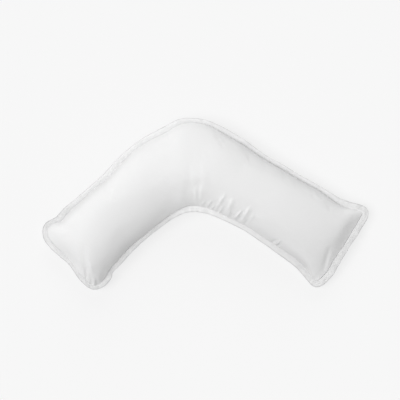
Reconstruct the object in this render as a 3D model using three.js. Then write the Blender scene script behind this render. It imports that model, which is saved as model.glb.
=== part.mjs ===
import * as THREE from 'three';
import * as BufferGeometryUtils from 'three/addons/utils/BufferGeometryUtils.js';

// V-shaped travel pillow lying on its back, in millimetres.
// X runs to the right, Y away from the open side of the V, Z up from the surface that it lies on.

// Driving dimensions
const FLOOR = 0;
const CONTACT_SINK = 11;      // how far the slack underside would hang below the floor if nothing held it
const CONTACT_BLEND = 3;      // rounding between the flat contact patch and the free underside
const CROSS_ROOT = 1.95;      // how steeply a section's curve leaves the seam
const CROSS_FOOT = 0.22;      // share of that rise which is lost on the seam itself
const CROSS_FOOT_REACH = 6;   // and how far in the loss is felt
const LEFT_CLOSE = 90;        // length over which the filling dies away into the left end
const LEFT_POWER = 4.8;
const LEFT_ROOT = 2.6;
const LEFT_FOOT = 0.45;
const LEFT_FOOT_REACH = 12;
const RIGHT_CLOSE = 170;      // and into the right end, which is longer and flatter
const RIGHT_POWER = 1.5;
const RIGHT_ROOT = 2.6;
const RIGHT_FOOT = 0.45;
const RIGHT_FOOT_REACH = 13;
const END_LINE_REACH = 60;    // how far in the shape of an end seam is still felt
const FOLD_CLEARANCE = 4;     // folds fade out over this distance from the seam
const FOLD_FOOT = 0.12;       // a fold starts this far up the sine that shapes it, so its foot is bold
const TANGENT_STEP = 0.02;    // in rows of the seam's table, for the seam's direction
const SEAM_GAP = 0.35;        // free play between the body's seam and the edge strip
const STRIP_WAVE = 1.0;       // the strip's rim rises and falls by this much
const STRIP_WAVES = 46;       // this often round the pillow
const LEAST_PUFF = 0.5;       // the strip keeps this share of its thickness where it is pressed flat

// A table's first row names its columns.
function table([columns, ...rows]) {
  return rows.map((row) => Object.fromEntries(columns.map((column, k) => [column, row[k]])));
}

// Sections across the pillow from the left end to the right end. Each runs from the seam on the outer
// side of the V to the seam on its inner side. crown is the top's height, lean moves the ridge towards
// the inner side where it is positive, power is how full the section is, the seam columns are heights of
// the seam, strip is the width of the edge strip, and steps is how finely the next stretch is cut.
const SECTIONS = table([
  ['outX', 'outY', 'inX', 'inY', 'crown', 'lean', 'power', 'seamOut', 'seamIn', 'stripOut', 'stripIn', 'steps'],
  [  -333,    -51,  -236,  -172,    81.2,    0.2,     1.5,        25,       24,        9.1,       8.1,       5],
  [  -320,    -41,  -218,  -163,    83.6,   0.14,    1.57,        27,       26,         10,      10.9,       4],
  [  -305,    -36,  -210,  -152,    86.2,   0.06,    1.73,        29,       29,         14,        12,       4],
  [  -290,    -19,  -203,  -139,    88.7,      0,    1.99,        31,       32,         13,       9.5,       4],
  [  -267,      3,  -181,  -114,    92.5,  -0.06,    2.18,        34,       36,       10.5,      10.9,       3],
  [  -242,     25,  -159,   -90,    95.4,  -0.11,    2.36,        37,       39,         10,      10.9,       3],
  [  -211,     50,  -128,   -64,    95.8,   -0.1,    2.38,        39,       41,         12,         9,       3],
  [  -179,     84,  -100,   -42,    97.4,  -0.08,    2.22,        41,       43,         12,       9.1,       3],
  [  -148,    114,   -79,   -26,    99.5,  -0.05,    2.08,        42,       44,       10.5,       9.7,       3],
  [  -116,    134,   -62,   -15,   102.2,   0.01,    1.86,        43,       45,         12,      11.1,       3],
  [   -85,    149,   -50,    -9,   104.6,   0.07,    1.92,        44,       46,         13,      11.5,       3],
  [   -53,    167,   -38,    -5,   105.6,   0.12,    2.05,        44,       46,       11.5,      12.5,       3],
  [   -22,    171,   -29,    -4,   106.2,   0.15,    2.04,        44,       46,          9,        13,       4],
  [    10,    163,   -19,    -4,   106.1,   0.15,    2.21,        44,       46,        9.7,      12.8,       4],
  [    41,    145,    -8,    -6,   106.3,   0.12,    2.42,        43,       46,       12.5,        12,       7],
  [    73,    127,     9,   -11,   105.2,   0.12,     2.6,        43,       45,       11.7,      10.8,       8],
  [    98,    110,    26,   -18,   103.8,   0.12,    2.78,        42,       45,       10.5,      10.4,      11],
  [   125,     92,    51,   -30,   101.9,    0.1,    2.87,        42,       44,         10,       9.7,      12],
  [   157,     74,    84,   -46,    99.4,   0.09,    2.73,        41,       43,       10.4,      10.2,       8],
  [   199,     49,   126,   -73,    96.1,   0.07,    2.45,        40,       41,         10,      11.2,      12],
  [   241,     26,   166,   -99,    92.5,   0.06,    2.16,        38,       39,        9.8,      13.5,       4],
  [   272,      4,   196,  -121,    89.1,   0.02,    2.01,        35,       36,       12.5,      13.9,       3],
  [   293,     -7,   213,  -139,    86.5,  -0.04,    1.82,        32,       32,       14.4,      13.5,       3],
  [   314,    -12,   225,  -155,    83.4,  -0.12,    1.52,        29,       28,       13.5,      12.2,       5],
  [   330,    -19,   235,  -162,    82.2,  -0.16,     1.5,        26,       24,       13.6,      13.8,       2],
]);

// The seam along the two ends, from the outer corner to the inner one, a row at each seventh.
const RIGHT_END = table([
  ['x',  'y', 'seam', 'strip'],
  [320,  -39,     29,    14.2],
  [307,  -60,     32,    14.2],
  [295,  -80,     34,    12.4],
  [281, -101,     34,    13.6],
  [268, -121,     32,    14.5],
  [257, -141,     28,    14.4],
]);
const LEFT_END = table([
  [ 'x',  'y', 'seam', 'strip'],
  [-332,  -69,     29,     9.3],
  [-320,  -86,     32,     9.5],
  [-301, -103,     34,    10.1],
  [-283, -121,     34,     8.1],
  [-271, -138,     31,       8],
  [-259, -155,     27,     7.7],
]);

// Folds pressed into the top cloth. Each runs from a foot near the seam to a tip, wide is its half
// width, and rise is how far it stands up, or is pressed in where it is negative.
const FOLDS = table([
  ['name',                    'footX', 'footY', 'tipX', 'tipY', 'wide', 'rise'],
  ['bend pucker 1',                -4,      -6,      3,      8,    3.4,    1.8],
  ['bend pucker 2',                 4,      -9,     12,      6,    3.4,    2.2],
  ['bend pucker 3',                12,     -13,     21,      4,    3.4,    2.6],
  ['bend pucker 4',                21,     -17,     32,      8,    3.4,    2.8],
  ['bend pucker 5',                31,     -20,     41,     20,    3.4,    3.2],
  ['bend pucker 6',                43,     -25,     54,     12,    3.6,    4.2],
  ['bend pucker 7',                54,     -29,     61,    -10,    3.2,    1.8],
  ['bend pucker 8',                64,     -35,     76,    -13,    3.4,      4],
  ['bend pucker 9',                80,     -42,     93,     -5,    3.6,      4],
  ['bend trough',                 -41,      22,    -40,     78,      9,   -1.4],
  ['bend ridge',                   -3,      30,     -2,    104,      9,    1.2],
  ['arm wall',                    110,     -60,    198,   -114,      9,   -3.5],
  ['arm trough left',             139,     -84,    147,    -74,      4,   -2.8],
  ['arm pucker',                  144,     -90,    156,    -78,    3.6,    4.4],
  ['arm trough right',            152,     -90,    161,    -80,    3.6,     -3],
  ['lower left ridge',           -261,    -152,   -262,   -112,      5,    1.6],
  ['lower left crease',          -250,    -160,   -250,   -122,    4.6,   -4.8],
  ['lower left second crease',   -235,    -170,   -236,   -152,      4,   -2.4],
  ['lower left broad crease',    -224,    -164,   -219,   -135,      6,   -2.4],
  ['upper left ridge',           -287,      -8,   -302,    -42,    4.4,    2.4],
  ['upper left dent',            -300,     -23,   -316,    -40,      5,     -3],
  ['right corner dent',           268,      -6,    316,    -28,      8,     -2],
  ['right end valley',            315,     -40,    280,    -99,      9,   -2.6],
  ['right end trough',            258,     -94,    245,   -146,      5,   -2.2],
  ['right end ridge',             266,    -108,    256,   -148,      5,    1.4],
]);

const ACROSS_STEPS = 22;      // cuts from the outer seam to the inner one
const ACROSS_CROWDING = 0.55; // how much they crowd towards the two seams
const LAST = SECTIONS.length - 1;

// The seam as one closed line, clockwise seen from above, with the strip's width carried beside it.
const seamRows = [
  ...SECTIONS.map((s) => ({ x: s.outX, y: s.outY, seam: s.seamOut, strip: s.stripOut })),
  ...RIGHT_END,
  ...SECTIONS.map((s) => ({ x: s.inX, y: s.inY, seam: s.seamIn, strip: s.stripIn })).reverse(),
  ...[...LEFT_END].reverse(),
];
const seamLine = new THREE.CatmullRomCurve3(
  seamRows.map((row) => new THREE.Vector3(row.x, row.y, row.seam)), true, 'centripetal');
const INNER_START = LAST + RIGHT_END.length + 1;

function seamAt(row) {
  return seamLine.getPoint(THREE.MathUtils.euclideanModulo(row, seamRows.length) / seamRows.length);
}

function stripWidthAt(row) {
  const place = THREE.MathUtils.euclideanModulo(row, seamRows.length);
  const before = Math.floor(place);
  const after = (before + 1) % seamRows.length;
  const blend = THREE.MathUtils.smoothstep(place - before, 0, 1);
  return THREE.MathUtils.lerp(seamRows[before].strip, seamRows[after].strip, blend);
}

// Places of the cuts, as rows of the table with fractions between them.
function cutsBetween(stepList) {
  const cuts = [];
  stepList.forEach((steps, row) => {
    for (let k = 0; k < steps; k += 1) {
      cuts.push(row + k / steps);
    }
  });
  return cuts;
}

const lengthSteps = SECTIONS.slice(0, LAST).map((s) => s.steps);
const LENGTH_CUTS = [...cutsBetween(lengthSteps), LAST];

// A column of SECTIONS between its rows: a cubic whose slopes are taken from the neighbouring rows.
function cubicAt(name, row) {
  const value = (k) => SECTIONS[k][name];
  const slope = (k) => {
    const [low, high] = [Math.max(k - 1, 0), Math.min(k + 1, LAST)];
    return (value(high) - value(low)) / (high - low);
  };
  const before = Math.min(Math.floor(row), LAST - 1);
  const [leave, reach] = [slope(before), slope(before + 1)];
  const rise = value(before + 1) - value(before);
  const part = row - before;
  const square = 3 * rise - 2 * leave - reach;
  const cube = leave + reach - 2 * rise;
  return value(before) + part * (leave + part * (square + part * cube));
}

function outerSeam(row) {
  return seamAt(row);
}

function innerSeam(row) {
  return seamAt(INNER_START + LAST - row);
}

function rightEndSeam(across) {
  return seamAt(LAST + across * (RIGHT_END.length + 1));
}

function leftEndSeam(across) {
  return seamAt(seamRows.length - across * (LEFT_END.length + 1));
}

// How far an end seam strays from the straight line between its corners.
function strayOfEnd(endSeam, across) {
  const straight = new THREE.Vector3().lerpVectors(endSeam(0), endSeam(1), across);
  return endSeam(across).sub(straight);
}

const middleOf = (row) => outerSeam(row).lerp(innerSeam(row), 0.5).setZ(0);
const LEFT_MIDDLE = middleOf(0);
const RIGHT_MIDDLE = middleOf(LAST);

// The seam surface: a sheet stretched over the closed seam line, between top and underside.
function seamSheet(row, across) {
  const point = outerSeam(row).lerp(innerSeam(row), across);
  const middle = middleOf(row);
  const leftReach = Math.max(0, 1 - middle.distanceTo(LEFT_MIDDLE) / END_LINE_REACH);
  const rightReach = Math.max(0, 1 - middle.distanceTo(RIGHT_MIDDLE) / END_LINE_REACH);
  point.addScaledVector(strayOfEnd(leftEndSeam, across), leftReach ** 2);
  point.addScaledVector(strayOfEnd(rightEndSeam, across), rightReach ** 2);
  return point;
}

function closing(fraction, power, root) {
  return (1 - (1 - THREE.MathUtils.clamp(fraction, 0, 1)) ** power) ** (1 / root);
}

// What is left of a rise beside a seam: one minus a share that fades with the distance as a bell.
function foot(distance, share, reach) {
  return 1 - share * Math.exp(-((distance / reach) ** 2));
}

// How full the pillow is: 0 on the seam all round, 1 along the ridge of each arm.
function fullness(row, across) {
  const leaned = across - 4 * cubicAt('lean', row) * across * (1 - across);
  const width = outerSeam(row).distanceTo(innerSeam(row));
  const fromLeft = middleOf(row).distanceTo(LEFT_MIDDLE);
  const fromRight = middleOf(row).distanceTo(RIGHT_MIDDLE);
  return closing(1 - Math.abs(2 * leaned - 1), cubicAt('power', row), CROSS_ROOT)
    * foot(Math.min(across, 1 - across) * width, CROSS_FOOT, CROSS_FOOT_REACH)
    * closing(fromLeft / LEFT_CLOSE, LEFT_POWER, LEFT_ROOT)
    * foot(fromLeft, LEFT_FOOT, LEFT_FOOT_REACH)
    * closing(fromRight / RIGHT_CLOSE, RIGHT_POWER, RIGHT_ROOT)
    * foot(fromRight, RIGHT_FOOT, RIGHT_FOOT_REACH);
}

function foldRise(x, y) {
  let rise = 0;
  for (const fold of FOLDS) {
    const runX = fold.tipX - fold.footX;
    const runY = fold.tipY - fold.footY;
    const run = Math.hypot(runX, runY);
    const along = ((x - fold.footX) * runX + (y - fold.footY) * runY) / (run * run);
    const aside = ((x - fold.footX) * runY - (y - fold.footY) * runX) / run;
    const inside = THREE.MathUtils.clamp(along, 0, 1);
    const beyond = (along - inside) * run;
    const bell = Math.exp(-((aside ** 2 + beyond ** 2) / fold.wide ** 2));
    const swell = Math.sqrt(Math.sin(Math.PI * THREE.MathUtils.lerp(FOLD_FOOT, 1, inside)));
    rise += fold.rise * bell * swell;
  }
  return rise;
}

// Distance to the nearest of the four seams.
function fromSeam(row, across) {
  const middle = middleOf(row);
  return Math.min(
    Math.min(across, 1 - across) * outerSeam(row).distanceTo(innerSeam(row)),
    middle.distanceTo(LEFT_MIDDLE),
    middle.distanceTo(RIGHT_MIDDLE),
  );
}

function topPoint(row, across) {
  const point = seamSheet(row, across);
  const foldPart = Math.min(1, fromSeam(row, across) / FOLD_CLEARANCE);
  point.z += (cubicAt('crown', row) - point.z) * fullness(row, across);
  point.z += foldPart * foldRise(point.x, point.y);
  return point;
}

// Rests what would hang below the floor on it, with a soft turn at the edge of the contact patch.
function restOnFloor(height) {
  const above = height - FLOOR;
  if (above <= -CONTACT_BLEND) {
    return FLOOR;
  }
  if (above >= CONTACT_BLEND) {
    return height;
  }
  return FLOOR + (above + CONTACT_BLEND) ** 2 / (4 * CONTACT_BLEND);
}

function underPoint(row, across) {
  const point = seamSheet(row, across);
  point.z = restOnFloor(point.z - (point.z + CONTACT_SINK) * fullness(row, across));
  return point;
}

const ACROSS_CUTS = Array.from({ length: ACROSS_STEPS + 1 }, (_, k) => {
  const even = k / ACROSS_STEPS;
  const crowded = (1 - Math.cos(Math.PI * even)) / 2;
  return THREE.MathUtils.lerp(even, crowded, ACROSS_CROWDING);
});

// A net of four-sided meshes over two lists of cuts. Each mesh is halved along its shorter diagonal,
// but a mesh at a corner of the net is always halved through that corner.
function net(columns, rows, pointAt) {
  const points = columns.flatMap((column) => rows.map((row) => pointAt(column, row)));
  const index = [];
  for (let i = 0; i < columns.length - 1; i += 1) {
    for (let j = 0; j < rows.length - 1; j += 1) {
      const a = i * rows.length + j;
      const [b, c, d] = [a + rows.length, a + rows.length + 1, a + 1];
      const onEndColumn = i === 0 || i === columns.length - 2;
      const onEndRow = j === 0 || j === rows.length - 2;
      const cornerIsA = (i === 0) === (j === 0);
      const shorterIsA = points[a].distanceTo(points[c]) < points[b].distanceTo(points[d]);
      const throughA = onEndColumn && onEndRow ? cornerIsA : shorterIsA;
      index.push(...(throughA ? [a, b, c, a, c, d] : [a, b, d, b, c, d]));
    }
  }
  return new THREE.BufferGeometry().setFromPoints(points).setIndex(index);
}

function closedSolid(surfaces) {
  const joined = BufferGeometryUtils.mergeGeometries(surfaces);
  const solid = BufferGeometryUtils.mergeVertices(joined, 1e-4);
  solid.computeVertexNormals();
  return solid;
}

// The filled body: top and underside cloth with the filling between them, closed along the seam.
function pillowBody() {
  const top = net(ACROSS_CUTS, LENGTH_CUTS, (across, row) => topPoint(row, across));
  const under = net(LENGTH_CUTS, ACROSS_CUTS, (row, across) => underPoint(row, across));
  return closedSolid([top, under]);
}

// The edge strip: a narrow folded strip sewn into the seam all round. Its section is thickest over the
// turned-in edges, half is the height above or below its own middle, and lift is the middle's height.
const STRIP_SECTION = table([
  ['out', 'half', 'lift'],
  [    0,   -1.0,   -0.8],
  [    0,    1.0,   -0.8],
  [ 0.34,    1.6,      0],
  [ 0.66,   1.85,    0.3],
  [ 0.87,   1.45,      0],
  [    1,      0,   -0.3],
  [ 0.87,  -1.45,      0],
  [ 0.66,  -1.85,    0.3],
  [ 0.34,   -1.6,      0],
]);

// How the strip lies round the pillow, by rows of the seam: curl is how far its rim stands up or hangs
// down, and puff is how round it is, from 0 to 1.
const LIE = table([
  ['row', 'curl', 'puff'],
  [    0,    1.5,    0.5],
  [  1.5,      3,    0.7],
  [    3,    2.5,    0.7],
  [  4.5,      1,    0.8],
  [    9,      0,    0.8],
  [   12,      0,      1],
  [   21,      0,      1],
  [   23,      0,    0.4],
  [ 26.5,   -2.5,    0.3],
  [   30,   -2.5,    0.3],
  [ 31.5,     -1,    0.3],
  [ 33.5,     -2,    0.4],
  [   36,     -4,    0.4],
  [   39,     -5,    0.4],
  [   45,     -4,    0.4],
  [   48,      0,      1],
  [   53,      0,      1],
  [ 55.5,      0,    0.6],
  [   57,      0,    0.3],
  [   61,      0,    0.3],
  [   62,    1.5,    0.5],
]);

function lieAt(name, row) {
  const after = Math.max(1, LIE.findIndex((place) => place.row >= row));
  const [low, high] = [LIE[after - 1], LIE[after]];
  return THREE.MathUtils.mapLinear(row, low.row, high.row, low[name], high[name]);
}

// The strip is cut at the same places as the body's seam, so the play between them stays even.
function stripCuts() {
  const inside = ACROSS_CUTS.slice(1, -1);
  return [
    ...LENGTH_CUTS,
    ...inside.map((across) => LAST + across * (RIGHT_END.length + 1)),
    ...LENGTH_CUTS.map((row) => INNER_START + LAST - row).reverse(),
    ...inside.map((across) => seamRows.length - across * (LEFT_END.length + 1)).reverse(),
    seamRows.length,
  ];
}

function outwardAt(row) {
  const ahead = seamAt(row + TANGENT_STEP).sub(seamAt(row - TANGENT_STEP)).setZ(0).normalize();
  return new THREE.Vector3(-ahead.y, ahead.x, 0);
}

function stripPoint(row, corner) {
  const { out, half, lift } = STRIP_SECTION[corner % STRIP_SECTION.length];
  const wave = STRIP_WAVE * Math.sin(2 * Math.PI * STRIP_WAVES * (row / seamRows.length)) * out ** 2;
  const puff = lieAt('puff', row);
  const point = seamAt(row).addScaledVector(outwardAt(row), SEAM_GAP + out * stripWidthAt(row));
  point.z += lieAt('curl', row) * out + puff * lift + Math.max(puff, LEAST_PUFF) * half + wave;
  return point;
}

function edgeStrip() {
  const turn = Array.from({ length: STRIP_SECTION.length + 1 }, (_, corner) => corner);
  return closedSolid([net(stripCuts(), turn, stripPoint)]);
}

function piece(name, geometry, material) {
  const mesh = new THREE.Mesh(geometry, material);
  mesh.name = name;
  return mesh;
}

const coverCotton = new THREE.MeshStandardMaterial({ color: '#f1f1ef', roughness: 0.82, metalness: 0 });
const stripCotton = new THREE.MeshStandardMaterial({ color: '#ececea', roughness: 0.86, metalness: 0 });

const pillow = new THREE.Group();
pillow.add(piece('pillow_body', pillowBody(), coverCotton));
pillow.add(piece('edge_strip', edgeStrip(), stripCotton));

export default pillow;
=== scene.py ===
# %% [markdown]
# A V-shaped travel pillow of white cotton, lying on its back.
# The CAD model is loaded first and stays as it is. Every piece made below is in its frame: metres,
# X to the right, Y away from the open side of the V, Z up from the surface that the pillow lies on.

# %% Load the frame
import bpy
import numpy as np
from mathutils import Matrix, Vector


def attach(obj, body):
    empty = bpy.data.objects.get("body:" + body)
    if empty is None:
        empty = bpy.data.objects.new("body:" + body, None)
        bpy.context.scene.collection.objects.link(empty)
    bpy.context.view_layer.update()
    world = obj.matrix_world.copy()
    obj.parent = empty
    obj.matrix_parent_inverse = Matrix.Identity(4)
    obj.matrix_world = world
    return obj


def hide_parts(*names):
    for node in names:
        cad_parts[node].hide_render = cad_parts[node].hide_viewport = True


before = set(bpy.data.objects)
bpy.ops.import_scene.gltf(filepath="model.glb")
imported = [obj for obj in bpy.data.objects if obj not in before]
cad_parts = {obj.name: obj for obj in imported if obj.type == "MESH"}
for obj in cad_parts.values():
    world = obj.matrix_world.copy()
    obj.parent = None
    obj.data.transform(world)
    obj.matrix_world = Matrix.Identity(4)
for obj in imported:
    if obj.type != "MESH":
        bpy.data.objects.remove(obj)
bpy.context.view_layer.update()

MM = 0.001

# %% [markdown]
# The pillow is two panels of cloth cut to one V and sewn together all round, so its seam is one closed
# line and everything else hangs from it. A modeller could draw that line as a curve object and sculpt a
# body between its sides. Here a short table holds a row for each section across the V, because the arms,
# the bend and the corners can then be corrected one at a time, in millimetres.

# %% Sections across the V, from the left end to the right end
SECTION_COLUMNS = (
    "out_x", "out_y", "in_x", "in_y", "crown", "lean", "power",
    "seam_out", "seam_in", "strip_out", "strip_in",
)
SECTION_ROWS = (
    (-333, -51, -236, -172, 81.2, 0.20, 1.50, 25, 24, 10.2, 9.0),
    (-320, -41, -218, -163, 83.6, 0.14, 1.57, 27, 26, 10, 10.9),
    (-305, -36, -210, -152, 86.2, 0.06, 1.73, 29, 29, 14, 12.0),
    (-290, -19, -203, -139, 88.7, 0.00, 1.99, 31, 32, 13, 9.5),
    (-267, 3, -181, -114, 92.5, -0.06, 2.18, 34, 36, 10.5, 10.9),
    (-242, 25, -159, -90, 95.4, -0.11, 2.36, 37, 39, 10, 10.9),
    (-211, 50, -128, -64, 95.8, -0.10, 2.38, 39, 41, 12, 9.0),
    (-179, 84, -100, -42, 97.4, -0.08, 2.22, 41, 43, 12, 9.1),
    (-148, 114, -79, -26, 99.5, -0.05, 2.08, 42, 44, 10.5, 9.7),
    (-116, 134, -62, -15, 102.2, 0.01, 1.86, 43, 45, 12, 11.1),
    (-85, 149, -50, -9, 104.6, 0.07, 1.92, 44, 46, 13, 11.5),
    (-53, 167, -38, -5, 105.6, 0.12, 2.05, 44, 46, 11.5, 12.5),
    (-22, 171, -29, -4, 106.2, 0.15, 2.04, 44, 46, 9, 13.0),
    (10, 163, -19, -4, 106.1, 0.15, 2.21, 44, 46, 9.7, 12.8),
    (41, 145, -8, -6, 106.3, 0.12, 2.42, 43, 46, 12.5, 12.0),
    (73, 127, 9, -11, 105.2, 0.12, 2.60, 43, 45, 11.7, 10.8),
    (98, 110, 26, -18, 103.8, 0.12, 2.78, 42, 45, 10.5, 10.4),
    (125, 92, 51, -30, 101.9, 0.10, 2.87, 42, 44, 10, 9.7),
    (157, 74, 84, -46, 99.4, 0.09, 2.73, 41, 43, 10.4, 10.2),
    (199, 49, 126, -73, 96.1, 0.07, 2.45, 40, 41, 10, 11.2),
    (241, 26, 166, -99, 92.5, 0.06, 2.16, 38, 39, 9.8, 13.5),
    (272, 4, 196, -121, 89.1, 0.02, 2.01, 35, 36, 12.5, 13.9),
    (293, -7, 213, -139, 86.5, -0.04, 1.82, 32, 32, 14.4, 13.5),
    (314, -12, 225, -155, 83.4, -0.12, 1.52, 29, 28, 13.5, 12.2),
    (330, -19, 235, -162, 82.2, -0.16, 1.50, 26, 24, 13.6, 13.8),
)
END_COLUMNS = ("x", "y", "seam", "strip")
RIGHT_END_ROWS = (
    (320, -39, 29, 14.2),
    (307, -60, 32, 14.2),
    (295, -80, 34, 12.4),
    (281, -101, 34, 13.6),
    (268, -121, 32, 14.5),
    (257, -141, 28, 14.4),
)
LEFT_END_ROWS = (
    (-332, -69, 29, 10.3),
    (-320, -86, 32, 10.0),
    (-301, -103, 34, 10.1),
    (-283, -121, 34, 8.1),
    (-271, -138, 31, 8),
    (-259, -155, 27, 8.6),
)


def columns(names, rows):
    """A table as {name: array}, one array for each column."""
    return {name: np.array(values) for name, values in zip(names, zip(*rows))}


section = columns(SECTION_COLUMNS, SECTION_ROWS)
right_end = columns(END_COLUMNS, RIGHT_END_ROWS)
left_end = columns(END_COLUMNS, LEFT_END_ROWS)
LAST = len(SECTION_ROWS) - 1
RIGHT_SPAN = len(RIGHT_END_ROWS) + 1
LEFT_SPAN = len(LEFT_END_ROWS) + 1
print("sections:", LAST + 1)

# %% [markdown]
# The seam runs along the outer side of the V, down the right end, back along the inner side and up the
# left end. A spline through the table's points closes it. The centripetal kind is used, which doesn't
# overshoot at the corners where the points lie close together.

# %% The seam as one closed line
seam_table = np.concatenate([
    np.stack([section["out_x"], section["out_y"], section["seam_out"], section["strip_out"]], axis=1),
    np.stack([right_end[name] for name in END_COLUMNS], axis=1),
    np.stack([section["in_x"], section["in_y"], section["seam_in"], section["strip_in"]], axis=1)[::-1],
    np.stack([left_end[name] for name in END_COLUMNS], axis=1)[::-1],
])
SEAM_ROWS = len(seam_table)
INNER_START = LAST + RIGHT_SPAN


def seam_at(row):
    """Point of the seam, in mm, at a row of the table or between rows.

    Each stretch is a cubic that leaves and reaches its two points along the slopes of a centripetal
    Catmull-Rom spline: each slope weighs the two neighbouring stretches by the root of their lengths.
    """
    row = np.mod(row, SEAM_ROWS)
    near = np.floor(row).astype(int)
    part = (row - near)[..., None]
    p0, p1, p2, p3 = (seam_table[(near + k) % SEAM_ROWS, :3] for k in (-1, 0, 1, 2))
    stretches = (p1 - p0, p2 - p1, p3 - p2)
    d0, d1, d2 = (np.sqrt(np.linalg.norm(stretch, axis=-1, keepdims=True)) for stretch in stretches)
    leave = d1 * ((p1 - p0) / d0 - (p2 - p0) / (d0 + d1) + (p2 - p1) / d1)
    reach = d1 * ((p2 - p1) / d1 - (p3 - p1) / (d1 + d2) + (p3 - p2) / d2)
    square = 3 * (p2 - p1) - 2 * leave - reach
    cube = 2 * (p1 - p2) + leave + reach
    return p1 + part * (leave + part * (square + part * cube))


def strip_width_at(row):
    """Width of the edge strip, in mm, eased from one row of the table to the next."""
    row = np.mod(row, SEAM_ROWS)
    near = np.floor(row).astype(int)
    part = row - near
    ease = part * part * (3 - 2 * part)
    width = seam_table[:, 3]
    return width[near] * (1 - ease) + width[(near + 1) % SEAM_ROWS] * ease


WALK_STEPS = 4000
walk_rows = np.linspace(0, SEAM_ROWS, WALK_STEPS + 1)
walk_mm = np.concatenate([[0], np.cumsum(np.linalg.norm(np.diff(seam_at(walk_rows), axis=0), axis=1))])
SEAM_LENGTH = walk_mm[-1]
print("seam, mm:", round(SEAM_LENGTH))

# %% [markdown]
# The body's form is a crowned tube that closes down to the seam on all four sides. It could be a box
# with a subdivision surface, but then the seam would have to be found again in the smoothed mesh. Here a
# flat sheet is stretched over the seam first, and each point of it is then lifted by how full the pillow
# is there: nothing on the seam, everything along the ridge of an arm.

# %% The crowned form
CROSS_ROOT = 1.95
CROSS_FOOT_REACH = 7
FOOT_COLUMNS = ("row", "outer", "inner")
FOOT_ROWS = (
    (0, 0.22, 0.40),
    (3, 0.34, 0.25),
    (8, 0.34, 0.15),
    (12, 0.25, 0.08),
    (15, 0.04, 0.10),
    (21, 0.04, 0.05),
    (24, 0.22, 0.22),
)
LEFT_CLOSE, LEFT_POWER, LEFT_ROOT = 90, 4.8, 2.6
LEFT_FOOT, LEFT_FOOT_REACH = 0.45, 12
RIGHT_CLOSE, RIGHT_POWER, RIGHT_ROOT = 170, 1.5, 2.6
RIGHT_FOOT, RIGHT_FOOT_REACH, RIGHT_EASE = 0.34, 15, 5
END_LINE_REACH = 60
CONTACT_SINK = 11
CONTACT_BLEND = 3


def outer_seam(row):
    """Point of the seam on the outer side: the table's rows count along it."""
    return seam_at(row)


def inner_seam(row):
    """Point of the seam on the inner side, which runs back, so its rows are counted from the far end."""
    return seam_at(INNER_START + LAST - row)


def middle_of(row):
    """Halfway between the outer and the inner seam, seen from above."""
    return ((outer_seam(row) + inner_seam(row)) / 2)[..., :2]


foot_share = columns(FOOT_COLUMNS, FOOT_ROWS)
LEFT_MIDDLE = middle_of(np.array(0.0))
RIGHT_MIDDLE = middle_of(np.array(float(LAST)))


def from_left(row):
    """Level distance in mm from the middle of the left end."""
    return np.linalg.norm(middle_of(row) - LEFT_MIDDLE, axis=-1)


def from_right(row):
    """Level distance in mm from the middle of the right end."""
    return np.linalg.norm(middle_of(row) - RIGHT_MIDDLE, axis=-1)


def stray(end_line, across):
    """How far the seam of an end lies from the straight line between its two corners."""
    first, last = end_line(np.zeros(1)), end_line(np.ones(1))
    return end_line(across) - (first + (last - first) * across[..., None])


def left_line(across):
    """Seam of the left end, from its outer corner to its inner one."""
    return seam_at(SEAM_ROWS - across * LEFT_SPAN)


def right_line(across):
    """Seam of the right end, from its outer corner to its inner one."""
    return seam_at(LAST + across * RIGHT_SPAN)


def seam_sheet(row, across):
    """A sheet over the seam: straight across from outer to inner seam, bent near an end to meet its line."""
    point = outer_seam(row) * (1 - across[..., None]) + inner_seam(row) * across[..., None]
    left_reach = np.maximum(0, 1 - from_left(row) / END_LINE_REACH)[..., None] ** 2
    right_reach = np.maximum(0, 1 - from_right(row) / END_LINE_REACH)[..., None] ** 2
    return point + left_reach * stray(left_line, across) + right_reach * stray(right_line, across)


def closing(fraction, power, root):
    """A rounded rise from 0 to 1: one minus the power of what is left, and then its root."""
    return (1 - (1 - np.clip(fraction, 0, 1)) ** power) ** (1 / root)


def foot(distance, share, reach):
    """What is left of the rise beside a seam: one minus a share that fades with the distance as a bell."""
    return 1 - share * np.exp(-(distance / reach) ** 2)


def cubic_at(name, row):
    """A column of the table between its rows: a cubic whose slopes are taken from the neighbours."""
    values = section[name]
    near = np.clip(np.floor(row).astype(int), 0, LAST - 1)
    part = row - near
    slope = np.gradient(values)
    rise = values[near + 1] - values[near]
    square = 3 * rise - 2 * slope[near] - slope[near + 1]
    cube = slope[near] + slope[near + 1] - 2 * rise
    return values[near] + part * (slope[near] + part * (square + part * cube))


def fullness(row, across):
    """The rise across the arm, with its ridge leaning to one side, times the rises from both ends."""
    leaned = across - 4 * cubic_at("lean", row) * across * (1 - across)
    width = np.linalg.norm(outer_seam(row) - inner_seam(row), axis=-1)
    side = closing(1 - np.abs(2 * leaned - 1), cubic_at("power", row), CROSS_ROOT)
    for name, away in (("outer", across), ("inner", 1 - across)):
        share = np.interp(row, foot_share["row"], foot_share[name])
        side *= foot(away * width, share, CROSS_FOOT_REACH)
    left = closing(from_left(row) / LEFT_CLOSE, LEFT_POWER, LEFT_ROOT)
    right = closing(from_right(row) / RIGHT_CLOSE, RIGHT_POWER, RIGHT_ROOT)
    left *= foot(from_left(row), LEFT_FOOT, LEFT_FOOT_REACH)
    right_ease = 1 - np.exp(-from_right(row) / RIGHT_EASE)
    right *= foot(from_right(row), RIGHT_FOOT, RIGHT_FOOT_REACH) * right_ease
    return side * left * right


def rest_on_floor(height):
    """What would hang below the floor lies on it, with a parabola at the edge of the contact patch."""
    blend = (height + CONTACT_BLEND) ** 2 / (4 * CONTACT_BLEND)
    return np.where(height >= CONTACT_BLEND, height, np.where(height <= -CONTACT_BLEND, 0, blend))


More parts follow.
